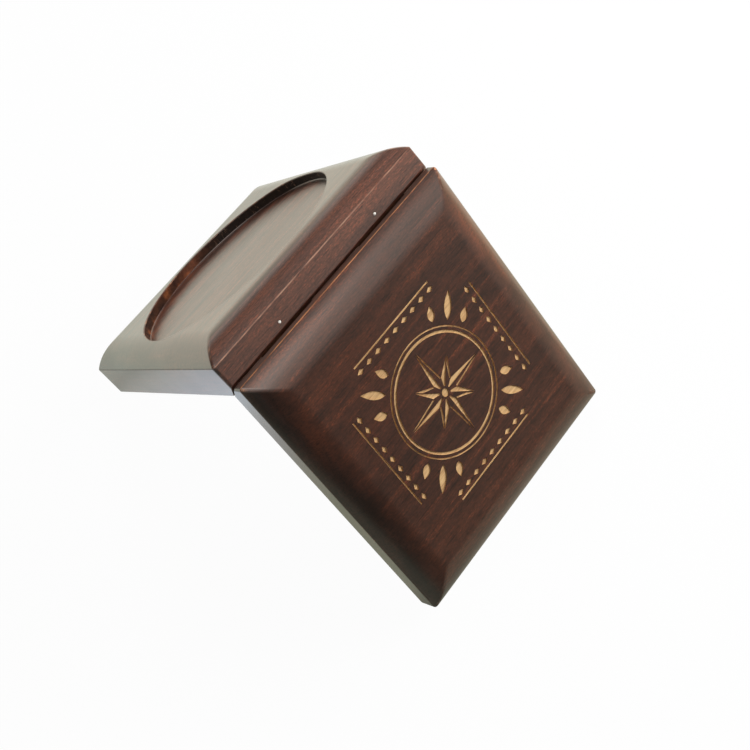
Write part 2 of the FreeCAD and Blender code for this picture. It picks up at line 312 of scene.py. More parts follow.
def stained_beech(name, shift, lean, dark, middle, red):
    """Stained beech under a clear satin varnish: soft bands, red streaks, fibre, short flecks and pores.

    Towards the two ends, where the moulding turns across the fibre, it passes into end grain.
    """
    material = bpy.data.materials.new(name)
    material.use_nodes = True
    tree = material.node_tree
    surface = tree.nodes["Principled BSDF"]
    place = wandering_grain(tree, 0.9 * MM)
    bands = grain_noise(tree, place, 10.0, 170.0, 4.0, shift)
    streaks = grain_noise(tree, place, 18.0, 460.0, 4.0, shift)
    fibre = grain_noise(tree, place, 170.0, 2400.0, 3.0, shift)
    flecks = grain_noise(tree, place, 1100.0, 2700.0, 2.0, shift)
    pores = grain_noise(tree, place, 170.0, 2100.0, 2.0, shift)
    clouds = grain_noise(tree, place, 24.0, 60.0, 2.0, shift)
    bright = tuple(part * 1.7 for part in red)
    colour = ramp(tree, bands, [(0.32, dark), (0.5, middle), (0.70, red)])
    streak_amount = ramp(tree, streaks, [(0.52, (0.0, 0.0, 0.0)), (0.68, (0.9, 0.9, 0.9))])
    streak_colour = ramp(tree, flecks, [(0.3, red), (0.7, bright)])
    colour = blend(tree, "MIX", streak_amount, colour, streak_colour)
    fibre_shade = ramp(tree, fibre, [(0.32, (0.66, 0.64, 0.64)), (0.66, (1.18, 1.14, 1.12))])
    colour = blend(tree, "MULTIPLY", 1.0, colour, fibre_shade)
    fleck_shade = ramp(tree, flecks, [
        (0.30, (0.50, 0.52, 0.54)), (0.46, (0.95, 0.95, 0.95)),
        (0.56, (1.05, 1.05, 1.05)), (0.72, (1.9, 1.5, 1.3))])
    colour = blend(tree, "MULTIPLY", 1.0, colour, fleck_shade)
    pore_shade = ramp(tree, pores, [(0.33, (0.40, 0.38, 0.38)), (0.45, (1.0, 1.0, 1.0))])
    colour = blend(tree, "MULTIPLY", 1.0, colour, pore_shade)
    cloud_shade = ramp(tree, clouds, [(0.3, (0.86, 0.86, 0.87)), (0.7, (1.12, 1.09, 1.06))])
    colour = blend(tree, "MULTIPLY", 1.0, colour, cloud_shade)
    facing = add_node(tree, "ShaderNodeSeparateXYZ")
    tree.links.new(tree.nodes["Texture Coordinate"].outputs["Normal"], facing.inputs[0])
    endwise = add_node(tree, "ShaderNodeMath", operation="ABSOLUTE")
    tree.links.new(facing.outputs["X"], endwise.inputs[0])
    cut_across = add_node(tree, "ShaderNodeMapRange", From_Min=0.06, From_Max=0.42)
    tree.links.new(endwise.outputs[0], cut_across.inputs["Value"])
    end_colour = end_grain(tree, shift, lean, dark, middle, red)
    colour = blend(tree, "MIX", cut_across.outputs["Result"], colour, end_colour)
    tree.links.new(colour, surface.inputs["Base Color"])
    gloss = ramp(tree, clouds, [(0.3, (0.38, 0.38, 0.38)), (0.7, (0.30, 0.30, 0.30))])
    tree.links.new(gloss, surface.inputs["Roughness"])
    satin_varnish(tree, surface, pore_shade)
    return material


def inner_face(name, shift, lean, dark, middle, red):
    """The inner face: sanded flat and stained like the rest, with one thin coat of matt varnish."""
    material = stained_beech(name, shift, lean, dark, middle, red)
    surface = material.node_tree.nodes["Principled BSDF"]
    surface.inputs["IOR"].default_value = 1.4
    surface.inputs["Coat Weight"].default_value = 0.15
    surface.inputs["Coat Roughness"].default_value = 0.45
    return material


def rubbed_and_highlit_arris(name, shift, lean, bare, kept, coverage):
    """An edge that handling has rubbed: bare pale wood shows through the stain in broken streaks. Given a
    pale grey for the crest's gap arris, the streaks are a painted highlight instead.
    """
    material = stained_beech(name, shift, lean, kept, kept, kept)
    tree = material.node_tree
    surface = tree.nodes["Principled BSDF"]
    place = wandering_grain(tree, 1.0 * MM)
    rubbing = grain_noise(tree, place, 130.0, 500.0, 4.0, shift)
    amount = ramp(tree, rubbing, [(0.62 - coverage, (0.0, 0.0, 0.0)), (0.86 - coverage, (1.0, 1.0, 1.0))])
    wood = ramp(tree, grain_noise(tree, place, 300.0, 2600.0, 2.0, shift), [
        (0.3, tuple(part * 0.55 for part in bare)), (0.7, bare)])
    stain = surface.inputs["Base Color"].links[0].from_socket
    tree.links.new(blend(tree, "MIX", amount, stain, wood), surface.inputs["Base Color"])
    surface.inputs["Coat Weight"].default_value = 0.4
    surface.inputs["Coat Roughness"].default_value = 0.35
    return material


def turned_wall(name, shift):
    """The turned wall of the seat: rough cut fibre that drinks the stain and takes little varnish.

    The end grain towards the far end is nearly black with a few pale torn fibres. The long grain is browner,
    and lighter still towards the middle of the wall's run.
    """
    material = bpy.data.materials.new(name)
    material.use_nodes = True
    tree = material.node_tree
    surface = tree.nodes["Principled BSDF"]
    place = wandering_grain(tree, 1.6 * MM)
    fibre = grain_noise(tree, place, 900.0, 900.0, 3.0, shift)
    patches = grain_noise(tree, place, 60.0, 160.0, 2.0, shift)
    torn = grain_noise(tree, place, 1500.0, 500.0, 2.0, shift)
    along_grain = ramp(tree, patches, [
        (0.42, (0.016, 0.008, 0.006)), (0.55, (0.045, 0.018, 0.010)), (0.66, (0.22, 0.075, 0.028))])
    across_grain = ramp(tree, torn, [
        (0.3, (0.009, 0.006, 0.005)), (0.61, (0.020, 0.013, 0.010)), (0.70, (0.16, 0.11, 0.08))])
    axes = add_node(tree, "ShaderNodeSeparateXYZ")
    tree.links.new(tree.nodes["Texture Coordinate"].outputs["Object"], axes.inputs[0])
    along_wall = add_node(tree, "ShaderNodeMapRange", From_Min=-16.0 * MM, From_Max=12.0 * MM)
    tree.links.new(axes.outputs["X"], along_wall.inputs["Value"])
    # Brighter along the middle of the wall's run, up to 4.6 times at the peak.
    middle_lightening = ramp(tree, along_wall.outputs["Result"], [
        (0.1, (1.0, 1.0, 1.0)), (0.4, (1.7, 1.6, 1.7)), (0.57, (4.6, 4.4, 4.4)), (0.78, (2.4, 2.4, 2.4))])
    along_grain = blend(tree, "MULTIPLY", 1.0, along_grain, middle_lightening)
    cut_across = add_node(tree, "ShaderNodeMapRange", From_Min=1.0 * MM, From_Max=12.0 * MM)
    tree.links.new(axes.outputs["X"], cut_across.inputs["Value"])
    colour = blend(tree, "MIX", cut_across.outputs["Result"], along_grain, across_grain)
    shade = ramp(tree, fibre, [(0.3, (0.6, 0.6, 0.6)), (0.7, (1.4, 1.3, 1.2))])
    tree.links.new(blend(tree, "MULTIPLY", 1.0, colour, shade), surface.inputs["Base Color"])
    rough = ramp(tree, fibre, [(0.3, (0.75, 0.75, 0.75)), (0.7, (0.55, 0.55, 0.55))])
    tree.links.new(rough, surface.inputs["Roughness"])
    surface.inputs["IOR"].default_value = 1.3
    surface.inputs["Coat Weight"].default_value = 0.06
    surface.inputs["Coat Roughness"].default_value = 0.3
    return material


def milled_floor(name, shift, lean):
    """The milled floor of the seat: the same stain, redder, with open pores in its varnish."""
    lighter = [tuple(part * 1.5 for part in tone) for tone in RECESS_STAIN]
    material = stained_beech(name, shift, lean, *lighter)
    tree = material.node_tree
    surface = tree.nodes["Principled BSDF"]
    place = wandering_grain(tree, 1.6 * MM)
    marks = grain_noise(tree, place, 150.0, 1500.0, 3.0, shift)
    where = grain_noise(tree, place, 30.0, 55.0, 2.0, shift)
    sunk = ramp(tree, marks, [(0.40, (0.0, 0.0, 0.0)), (0.52, (1.0, 1.0, 1.0))])
    full = ramp(tree, where, [(0.42, (1.0, 1.0, 1.0)), (0.62, (0.0, 0.0, 0.0))])
    open_pores = add_node(tree, "ShaderNodeBump", Strength=0.5, Distance=0.03 * MM)
    tree.links.new(blend(tree, "LIGHTEN", 1.0, sunk, full), open_pores.inputs["Height"])
    tree.links.new(open_pores.outputs["Normal"], surface.inputs["Coat Normal"])
    surface.inputs["Coat Weight"].default_value = 0.88
    surface.inputs["Coat Roughness"].default_value = 0.24
    return material


def hinge_wear_and_gap_highlight(leaf, edge_height, gap_arris_slot):
    """Give the arris above the hinges its own finish: fingers open the case by it, so it wears most.

    The arris below it, at the gap between the leaves, takes the numbered gap slot; on the crest leaf that
    slot holds a painted highlight.
    """
    hinge_edge = -2.4 * MM
    below_arris = edge_height - 0.6 * MM
    for face in leaf.data.polygons:
        if face.material_index == EASED_ARRIS and face.center.y < hinge_edge:
            face.material_index = HINGE_ARRIS if face.center.z > below_arris else gap_arris_slot


RECESS_STAIN = ((0.032, 0.0136, 0.0092), (0.072, 0.0285, 0.0183), (0.116, 0.0400, 0.0217))
RUBBED_WOOD = (0.50, 0.235, 0.125)
RUBBED_PINK = (0.46, 0.25, 0.165)
RECESS_EDGE_HEIGHT = 10.0 * MM
RECESS_KERF_HEIGHT = 7.55 * MM
BRAD_HEIGHT = HALF_GAP + RECESS_EDGE_HEIGHT / 2
BRAD_HOLE_RADIUS = 0.52 * MM
BRAD_HOLE_LENGTH = 8.0 * MM
BRAD_HOLE_MIDDLE = -HINGE_BEVEL + 3.0 * MM
BRAD_SIDES = 24
SEAT_RADIUS = 35.35 * MM
SEAT_DEPTH = 3.0 * MM
SEAT_SIDES = 192
SEAT_CUTTER_LENGTH = 10.0 * MM
RIM_EASING = 0.32 * MM
SEAT_FILLET = 0.25 * MM
SEAT_TOLERANCE = 0.1 * MM
SEAT_WALL, SEAT_FLOOR = 3, 4

recess_shift = (0.37, 1.3, 2.9)
recess_leaf = crowned_leaf("recess_leaf_wood", RECESS_EDGE_HEIGHT, [
    stained_beech("recess_stain", recess_shift, LEAN, *RECESS_STAIN),
    rubbed_and_highlit_arris("recess_eased_arris", recess_shift, LEAN, RUBBED_WOOD, RECESS_STAIN[1], 0.10),
    rubbed_and_highlit_arris("recess_hinge_arris", recess_shift, LEAN, RUBBED_PINK, RECESS_STAIN[2], 0.22),
    turned_wall("seat_wall", recess_shift),
    milled_floor("seat_floor", recess_shift, LEAN),
    inner_face("recess_inner_face", recess_shift, LEAN, *RECESS_STAIN)])
hinge_wear_and_gap_highlight(recess_leaf, RECESS_EDGE_HEIGHT, STAIN)
let_in_fittings(recess_leaf, RECESS_KERF_HEIGHT, eased=False)
for spot in HINGE_SPOTS.values():
    hole_middle = (spot, BRAD_HOLE_MIDDLE, BRAD_HEIGHT)
    let_in(recess_leaf, round_tool(
        BRAD_HOLE_RADIUS, BRAD_HOLE_LENGTH, hole_middle, (math.radians(90), 0.0, 0.0), BRAD_SIDES))
seat_floor = HALF_GAP + RECESS_EDGE_HEIGHT + CROWN_RISE - SEAT_DEPTH
cutter_middle = (0.0, LEAF_MIDDLE, seat_floor + SEAT_CUTTER_LENGTH / 2)
let_in(recess_leaf, round_tool(SEAT_RADIUS, SEAT_CUTTER_LENGTH, cutter_middle, sides=SEAT_SIDES))


def on_seat_circle(corner):
    """Whether a corner of the mesh lies on the wall of the seat."""
    off_middle = corner.co.xy - Vector((0.0, LEAF_MIDDLE))
    return abs(off_middle.length - SEAT_RADIUS) < 0.03 * MM


seat = open_mesh(recess_leaf, "EDGE")
for face in seat.faces:
    if abs(face.normal.z) < 0.1 and all(on_seat_circle(corner) for corner in face.verts):
        face.material_index = SEAT_WALL
    elif face.normal.z > 0.9 and abs(face.calc_center_median().z - seat_floor) < SEAT_TOLERANCE:
        face.material_index = SEAT_FLOOR
for edge in seat.edges:
    low = all(corner.co.z < seat_floor + SEAT_TOLERANCE for corner in edge.verts)
    edge.select_set(low and all(on_seat_circle(corner) for corner in edge.verts))
bmesh.update_edit_mesh(recess_leaf.data)
bpy.ops.mesh.bevel(offset=SEAT_FILLET, segments=3, affect="EDGES", material=STAIN)
bpy.ops.mesh.select_all(action="DESELECT")
seat = bmesh.from_edit_mesh(recess_leaf.data)
for edge in seat.edges:
    high = all(corner.co.z > seat_floor + SEAT_DEPTH / 3 for corner in edge.verts)
    on_rim = high and all(on_seat_circle(corner) for corner in edge.verts)
    facing = [face.normal.z for face in edge.link_faces]
    edge.select_set(on_rim and max(facing) > 0.5 > min(facing))
bmesh.update_edit_mesh(recess_leaf.data)
bpy.ops.mesh.bevel(offset=RIM_EASING, segments=4, affect="EDGES", material=EASED_ARRIS)
bpy.ops.object.mode_set(mode="OBJECT")
stand_up(recess_leaf, 0.0)
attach(recess_leaf, "recess_side")
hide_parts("recess_leaf")


# Crest leaf: the thinner half, moulded and stained as the first, with a plain inner face.
# A shallow ornament is burnt into its flat middle, so that the pale wood shows through the stain.
CREST_EDGE_HEIGHT = 6.1 * MM
CREST_KERF_HEIGHT = 5.55 * MM
CREST_TOP = HALF_GAP + CREST_EDGE_HEIGHT + CROWN_RISE
CREST_STAIN = ((0.0245, 0.0089, 0.0053), (0.0455, 0.0156, 0.0087), (0.073, 0.0221, 0.0102))
RUBBED_ORANGE = (0.60, 0.245, 0.10)
THINNED_STAIN = (0.14, 0.049, 0.022)
# Painted highlight: a pale grey for the crest's lower arris at the gap, which lies in shade.
GAP_HIGHLIGHT_GREY = (0.52, 0.40, 0.33)
PAINTED_GAP_HIGHLIGHT = 3

crest_shift = (0.9, 6.3, 3.8)
crest_leaf = crowned_leaf("crest_leaf_wood", CREST_EDGE_HEIGHT, [
    stained_beech("crest_stain", crest_shift, -LEAN, *CREST_STAIN),
    rubbed_and_highlit_arris("crest_eased_arris", crest_shift, -LEAN, RUBBED_WOOD, CREST_STAIN[1], 0.06),
    rubbed_and_highlit_arris("crest_hinge_arris", crest_shift, -LEAN, RUBBED_ORANGE, THINNED_STAIN, 0.25),
    # The gap arris gets pale grey streaks: a painted highlight along the groove.
    rubbed_and_highlit_arris("crest_gap_painted_highlight", crest_shift, -LEAN, GAP_HIGHLIGHT_GREY, CREST_STAIN[2], 0.24),
    inner_face("crest_inner_face", crest_shift, -LEAN, *CREST_STAIN)])
hinge_wear_and_gap_highlight(crest_leaf, CREST_EDGE_HEIGHT, PAINTED_GAP_HIGHLIGHT)
let_in_fittings(crest_leaf, CREST_KERF_HEIGHT, eased=True)

burnt = bpy.data.materials.new("burnt_ornament")
burnt.use_nodes = True
burnt_tree = burnt.node_tree
burnt_surface = burnt_tree.nodes["Principled BSDF"]
burnt_place = wandering_grain(burnt_tree, 2.2 * MM)
burnt_grain = grain_noise(burnt_tree, burnt_place, 120.0, 1500.0, 3.0, crest_shift)
burnt_colour = ramp(burnt_tree, burnt_grain, [
    (0.3, (0.36, 0.20, 0.09)), (0.55, (0.56, 0.36, 0.17)), (0.8, (0.66, 0.45, 0.24))])
burnt_tree.links.new(burnt_colour, burnt_surface.inputs["Base Color"])
burnt_dust = ramp(burnt_tree, burnt_grain, [(0.3, (0.75, 0.75, 0.75)), (0.7, (0.6, 0.6, 0.6))])
burnt_tree.links.new(burnt_dust, burnt_surface.inputs["Roughness"])

BURN_DEPTH = 0.22 * MM
BURN_CLEARANCE = 0.1 * MM
QUARTERS = (0, 90, 180, 270)
STAR_TIPS = {0: 15.2, 45: 10.4}
STAR_HEART = 1.9
STAR_HEART_TURNS = (5, 17)
STAR_WAIST = 4.5
STAR_WAIST_TURN = 22.0
STAR_SPLIT_TURN = 0.8
STAR_OUTLINE_TIP = 2.6
STAR_OUTLINE_WAIST = 4.2
STAR_OUTLINE_TURN = 17.5
STAR_BUTTON = 1.2
RINGS = ((16.7, 17.5), (18.4, 18.8))
RING_STEPS = 96
RING_SLIT = 0.15
SPRAY = {0: 8.4, -15: 4.6, 15: 4.6}
SPRAY_WIDTH = 2.5
SPRAY_ROOT = 20.2
SPRAY_STEPS = 8
SPRAY_FULLNESS = 0.85
BORDER_INNER, BORDER_OUTER, BORDER_HALF = 26.6, 27.1, 16.6
BEAD_INNER, BEAD_MIDDLE, BEAD_OUTER, BEAD_HALF = 24.0, 24.8, 25.6, 1.3
BEAD_SPACING = 3.9
ornament = []


def burn(points):
    """Mark one closed flat shape of the ornament.

    The ornament's sizes are in mm from the leaf's middle, along the spine and away from the hinge.
    """
    bpy.ops.object.select_all(action="DESELECT")
    bpy.ops.mesh.primitive_circle_add(vertices=len(points), radius=MM, fill_type="NGON")
    mark = bpy.context.object
    for corner, (across, out) in zip(mark.data.vertices, points):
        corner.co = (across * MM, LEAF_MIDDLE + out * MM, CREST_TOP + BURN_CLEARANCE)
    ornament.append(mark)


def turned(points, degrees):
    """Turn a shape about the leaf's middle."""
    cosine, sine = math.cos(math.radians(degrees)), math.sin(math.radians(degrees))
    return [(x * cosine - y * sine, x * sine + y * cosine) for x, y in points]


def spoke(radius, degrees):
    """A point given by its distance and direction from the leaf's middle."""
    return radius * math.cos(math.radians(degrees)), radius * math.sin(math.radians(degrees))


def burn_star_point(heading, tip):
    """One point of the star: the first half burnt full, the other half as a thin outline."""
    first, last = STAR_HEART_TURNS
    burn([
        spoke(STAR_HEART, heading + first), spoke(tip, heading + STAR_SPLIT_TURN),
        spoke(STAR_WAIST, heading + STAR_WAIST_TURN), spoke(STAR_HEART, heading + last)])
    burn([
        spoke(tip, heading - STAR_SPLIT_TURN), spoke(tip - STAR_OUTLINE_TIP, heading - STAR_SPLIT_TURN),
        spoke(STAR_OUTLINE_WAIST, heading - STAR_OUTLINE_TURN),
        spoke(STAR_WAIST, heading - STAR_WAIST_TURN)])


def burn_ring(inner, outer):
    """A thin burnt ring, drawn as two half rings with a hair's breadth between them."""
    sweep = 180 - 2 * RING_SLIT
    for start in (0, 180):
        headings = [start + RING_SLIT + step * sweep / RING_STEPS for step in range(RING_STEPS + 1)]
        rim = [spoke(outer, heading) for heading in headings]
        back = [spoke(inner, heading) for heading in reversed(headings)]
        burn(rim + back)


def spray_leaf(length):
    """A pointed leaf lying along the spine from its root."""
    upper = []
    for step in range(SPRAY_STEPS + 1):
        share = step / SPRAY_STEPS
        swell = SPRAY_WIDTH / 2 * math.sin(math.pi * share ** SPRAY_FULLNESS)
        upper.append((SPRAY_ROOT + length * share, swell))
    return upper + [(x, -y) for x, y in reversed(upper[1:-1])]


border = [
    (BORDER_INNER, -BORDER_HALF), (BORDER_OUTER, -BORDER_HALF),
    (BORDER_OUTER, BORDER_HALF), (BORDER_INNER, BORDER_HALF)]
for quarter in QUARTERS:
    for start, tip in STAR_TIPS.items():
        burn_star_point(quarter + start, tip)
burn([spoke(STAR_BUTTON, 15 * step) for step in range(24)])
for inner, outer in RINGS:
    burn_ring(inner, outer)
for quarter in QUARTERS:
    for swing, length in SPRAY.items():
        burn(turned(spray_leaf(length), 45 + quarter + swing))
    burn(turned(border, quarter))
    for count in range(-4, 5):
        out = BEAD_SPACING * count
        bead = [
            (BEAD_INNER, out), (BEAD_MIDDLE, out - BEAD_HALF),
            (BEAD_OUTER, out), (BEAD_MIDDLE, out + BEAD_HALF)]
        burn(turned(bead, quarter))

pick(ornament[0])
for item in ornament:
    item.select_set(True)
bpy.ops.object.join()
burn_tool = bpy.context.object
burn_tool.data.materials.append(burnt)
open_mesh(burn_tool, "FACE")
bpy.ops.mesh.select_all(action="SELECT")
bpy.ops.mesh.extrude_region_move(
    TRANSFORM_OT_translate={"value": (0.0, 0.0, -BURN_DEPTH - BURN_CLEARANCE)})
bpy.ops.mesh.select_all(action="SELECT")
bpy.ops.mesh.normals_make_consistent(inside=False)
bpy.ops.object.mode_set(mode="OBJECT")
let_in(crest_leaf, burn_tool, many_shapes=True)
stand_up(crest_leaf, math.radians(180))
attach(crest_leaf, "crest_side")
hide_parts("crest_leaf")


# Hinges: two small brass hinges let into the bevelled corner, one wing upright in each leaf.
# The knuckles are rolled round a thin steel pin that is peened over at both ends.
def worked_metal(name, light, dull, rough, scratch):
    """Bare or plated metal: tarnish in soft patches and fine marks from working along the spine."""
    material = bpy.data.materials.new(name)
    material.use_nodes = True
    tree = material.node_tree
    surface = tree.nodes["Principled BSDF"]
    surface.inputs["Metallic"].default_value = 1.0
    place = tree.nodes.new("ShaderNodeTexCoord").outputs["Object"]
    shift = (0.2, 0.7, 1.1)
    patches = grain_noise(tree, place, 350.0, 420.0, 3.0, shift)
    marks = grain_noise(tree, place, 500.0, 9000.0, 2.0, shift)
    tree.links.new(ramp(tree, patches, [(0.35, dull), (0.62, light)]), surface.inputs["Base Color"])
    polish = ramp(tree, marks, [(0.3, (rough + 0.12,) * 3), (0.7, (rough,) * 3)])
    tree.links.new(polish, surface.inputs["Roughness"])
    relief = add_node(tree, "ShaderNodeBump", Strength=scratch, Distance=0.02 * MM)
    tree.links.new(marks, relief.inputs["Height"])
    tree.links.new(relief.outputs["Normal"], surface.inputs["Normal"])
    return material


def finish_node(name, material):
    """Give a part that keeps its own shape its finish."""
    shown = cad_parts[name]
    shown.data.materials.clear()
    shown.data.materials.append(material)


dulled_brass = worked_metal("dulled_brass", (0.36, 0.28, 0.14), (0.16, 0.12, 0.06), 0.34, 0.25)
pin_steel = worked_metal("pin_steel", (0.50, 0.49, 0.47), (0.30, 0.29, 0.28), 0.3, 0.2)
for side in HINGE_SPOTS:
    finish_node("recess_wing_" + side, dulled_brass)
    finish_node("crest_wing_" + side, dulled_brass)
    finish_node("hinge_pin_" + side, pin_steel)


# Brads: two headless bright steel pins driven square into the recess leaf's hinge edge through the wings.
# Each is nipped off and filed, so that a slightly domed end shows just proud of the wood. Their near-white,
# half-metal colour is a painted glint on those ends.
BRAD_RADIUS = 0.4 * MM
BRAD_SHANK = 6.5 * MM
BRAD_SHANK_MIDDLE = -HINGE_BEVEL + 3.25 * MM
BRAD_DOME = ((0.72, 0.05 * MM), (0.5, 0.03 * MM))
BRAD_POINT = 1.5 * MM
BRAD_POINT_SHARE = 0.25

# Painted glint: a near-white colour that is only 0.3 metal, so the filed ends show bright whatever they
# mirror.
brad_steel = worked_metal("brad_steel", (0.98, 0.95, 0.88), (0.90, 0.87, 0.80), 0.55, 0.1)
brad_steel.node_tree.nodes["Principled BSDF"].inputs["Metallic"].default_value = 0.3
near_spot = HINGE_SPOTS["near"]
brad_line = (near_spot, 0.0, BRAD_HEIGHT)
bpy.ops.object.select_all(action="DESELECT")
bpy.ops.mesh.primitive_cylinder_add(
    vertices=BRAD_SIDES, radius=BRAD_RADIUS, depth=BRAD_SHANK,
    location=(near_spot, BRAD_SHANK_MIDDLE, BRAD_HEIGHT), rotation=(math.radians(90), 0.0, 0.0))
near_brad = bpy.context.object
near_brad.name = "brad_near"
bpy.ops.object.transform_apply(location=True, rotation=True, scale=True)
bar = open_mesh(near_brad, "FACE")
for face in bar.faces:
    face.select_set(face.normal.y < -0.9)
bmesh.update_edit_mesh(near_brad.data)
for share, rise in BRAD_DOME:
    bpy.ops.mesh.extrude_region_move(TRANSFORM_OT_translate={"value": (0.0, -rise, 0.0)})
    bpy.ops.transform.resize(value=(share, 1.0, share), center_override=brad_line)
bpy.ops.mesh.select_all(action="DESELECT")
bar = bmesh.from_edit_mesh(near_brad.data)
for face in bar.faces:
    face.select_set(face.normal.y > 0.9)
bmesh.update_edit_mesh(near_brad.data)
bpy.ops.mesh.extrude_region_move(TRANSFORM_OT_translate={"value": (0.0, BRAD_POINT, 0.0)})
bpy.ops.transform.resize(value=(BRAD_POINT_SHARE, 1.0, BRAD_POINT_SHARE), center_override=brad_line)
bpy.ops.object.mode_set(mode="OBJECT")
near_brad.data.materials.append(brad_steel)
stand_up(near_brad, 0.0)
bpy.ops.object.duplicate(linked=False)
far_brad = bpy.context.object
far_brad.name = "brad_far"
far_brad.location.x = HINGE_SPOTS["far"] - near_spot
bpy.ops.object.transform_apply(location=True, rotation=True, scale=True)
for side, brad in (("near", near_brad), ("far", far_brad)):
    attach(brad, "recess_side")
    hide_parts("recess_brad_" + side)


# Magnets: four small nickel-plated discs glued into pockets in the inner faces near the free edge.
# They meet when the case is shut and keep it closed.
nickel = worked_metal("nickel_plate", (0.66, 0.65, 0.63), (0.52, 0.51, 0.49), 0.2, 0.06)
for side in HINGE_SPOTS:
    finish_node("recess_magnet_" + side, nickel)
    finish_node("crest_magnet_" + side, nickel)


# Table: a plain white top under the case, which shows white and keeps part of the case's soft shadow.
# In the varnish it is a painted reflection of the lit paper sheet that the case stands on, with painted
# shadow where the case shades it, most of all just in front of its foot, painted shade far to the left,
# where the room is dark, and dimmer far behind.
SHEET_RUN_FRONT = -0.08
SHEET_RUN_BACK = 0.16
TABLE_SIZE = 12.0
SHADOW_KEPT = 0.03

bpy.ops.object.select_all(action="DESELECT")
bpy.ops.mesh.primitive_plane_add(size=TABLE_SIZE, location=(0.0, 0.0, 0.0))
table = bpy.context.object
table.name = "white_table"
table_white = bpy.data.materials.new("table_white")
table_white.use_nodes = True
table_tree = table_white.node_tree
table_tree.nodes.clear()
table_out = add_node(table_tree, "ShaderNodeOutputMaterial")
table_paper = add_node(table_tree, "ShaderNodeBsdfDiffuse", Color=(0.6, 0.6, 0.6, 1.0))
table_glow = add_node(table_tree, "ShaderNodeEmission", Strength=1.0)
table_mix = add_node(table_tree, "ShaderNodeMixShader")
table_rays = add_node(table_tree, "ShaderNodeLightPath")
table_place = add_node(table_tree, "ShaderNodeTexCoord")
table_axes = add_node(table_tree, "ShaderNodeSeparateXYZ")
table_tree.links.new(table_place.outputs["Object"], table_axes.inputs[0])


def table_span(axis, start, end, low, high):
    """A soft step in colour across the table, from start to end metres along one axis."""
    spread = add_node(
        table_tree, "ShaderNodeMapRange", interpolation_type="SMOOTHSTEP", From_Min=start, From_Max=end)
    table_tree.links.new(table_axes.outputs[axis], spread.inputs["Value"])
    return ramp(table_tree, spread.outputs["Result"], [(0.0, low), (1.0, high)])


def table_run(stops):
    """Colours along the table from front to back; each stop is metres behind the middle and a colour."""
    spread = add_node(table_tree, "ShaderNodeMapRange", From_Min=SHEET_RUN_FRONT, From_Max=SHEET_RUN_BACK)
    table_tree.links.new(table_axes.outputs["Y"], spread.inputs["Value"])
    run = SHEET_RUN_BACK - SHEET_RUN_FRONT
    shares = [((place - SHEET_RUN_FRONT) / run, colour) for place, colour in stops]
    return ramp(table_tree, spread.outputs["Result"], shares)


# Painted reflection of the lit table under the near end: a painted shade dip by the free edge at 0.06 and a
# painted bright bluish band at 0.027.
painted_near_reflection = table_run([
    (-0.022, (0.42, 0.425, 0.32)), (-0.008, (0.50, 0.49, 0.40)), (0.006, (0.65, 0.64, 0.605)),
    (0.018, (0.82, 0.84, 0.83)), (0.027, (1.02, 1.12, 1.22)), (0.038, (0.88, 0.91, 0.97)),
    (0.051, (0.74, 0.75, 0.71)), (0.060, (0.52, 0.53, 0.47)), (0.075, (0.72, 0.76, 0.66)),
    (0.090, (0.77, 0.82, 0.68)), (0.13, (0.96, 0.91, 0.75))])
# Painted reflection of the lit table under the far end, with painted shade close to the crest leaf's foot.
painted_far_reflection = table_run([
    (-0.02, (0.60, 0.54, 0.40)), (0.02, (0.75, 0.72, 0.62)), (0.06, (0.805, 0.827, 0.758)),
    (0.09, (0.85, 0.87, 0.74)), (0.13, (0.96, 0.91, 0.75))])
sheet_side = table_span("X", -0.045, -0.005, (0.0, 0.0, 0.0), (1.0, 1.0, 1.0))
# Painted shadow: the mirrored table darkens just in front of the case's foot.
painted_front_shadow = table_span("Y", -0.064, -0.050, (0.58, 0.58, 0.60), (1.0, 1.0, 1.0))
# Painted shade: the mirrored table goes dark far to the left, on the room's dark side.
painted_left_shade = table_span("X", -0.42, -0.25, (0.06, 0.06, 0.06), (1.0, 1.0, 1.0))
sheet_back = table_span("Y", 0.35, 1.0, (1.0, 1.0, 1.0), (0.60, 0.50, 0.43))
sheet = blend(table_tree, "MIX", sheet_side, painted_near_reflection, painted_far_reflection)
for shade in (painted_front_shadow, painted_left_shade, sheet_back):
    sheet = blend(table_tree, "MULTIPLY", 1.0, sheet, shade)
table_colour = blend(table_tree, "MIX", table_rays.outputs["Is Glossy Ray"], (1.0, 1.0, 1.0), sheet)
table_tree.links.new(table_colour, table_glow.inputs["Color"])
either_ray = add_node(table_tree, "ShaderNodeMath", operation="MAXIMUM")
table_tree.links.new(table_rays.outputs["Is Camera Ray"], either_ray.inputs[0])
table_tree.links.new(table_rays.outputs["Is Transmission Ray"], either_ray.inputs[1])
shown_share = add_node(table_tree, "ShaderNodeMath", operation="MULTIPLY")
shown_share.inputs[1].default_value = 1.0 - SHADOW_KEPT
table_tree.links.new(either_ray.outputs[0], shown_share.inputs[0])
any_share = add_node(table_tree, "ShaderNodeMath", operation="MAXIMUM")
table_tree.links.new(shown_share.outputs[0], any_share.inputs[0])
table_tree.links.new(table_rays.outputs["Is Glossy Ray"], any_share.inputs[1])
table_tree.links.new(any_share.outputs[0], table_mix.inputs["Fac"])
table_tree.links.new(table_paper.outputs["BSDF"], table_mix.inputs[1])
table_tree.links.new(table_glow.outputs["Emission"], table_mix.inputs[2])
table_tree.links.new(table_mix.outputs["Shader"], table_out.inputs["Surface"])
table.data.materials.append(table_white)


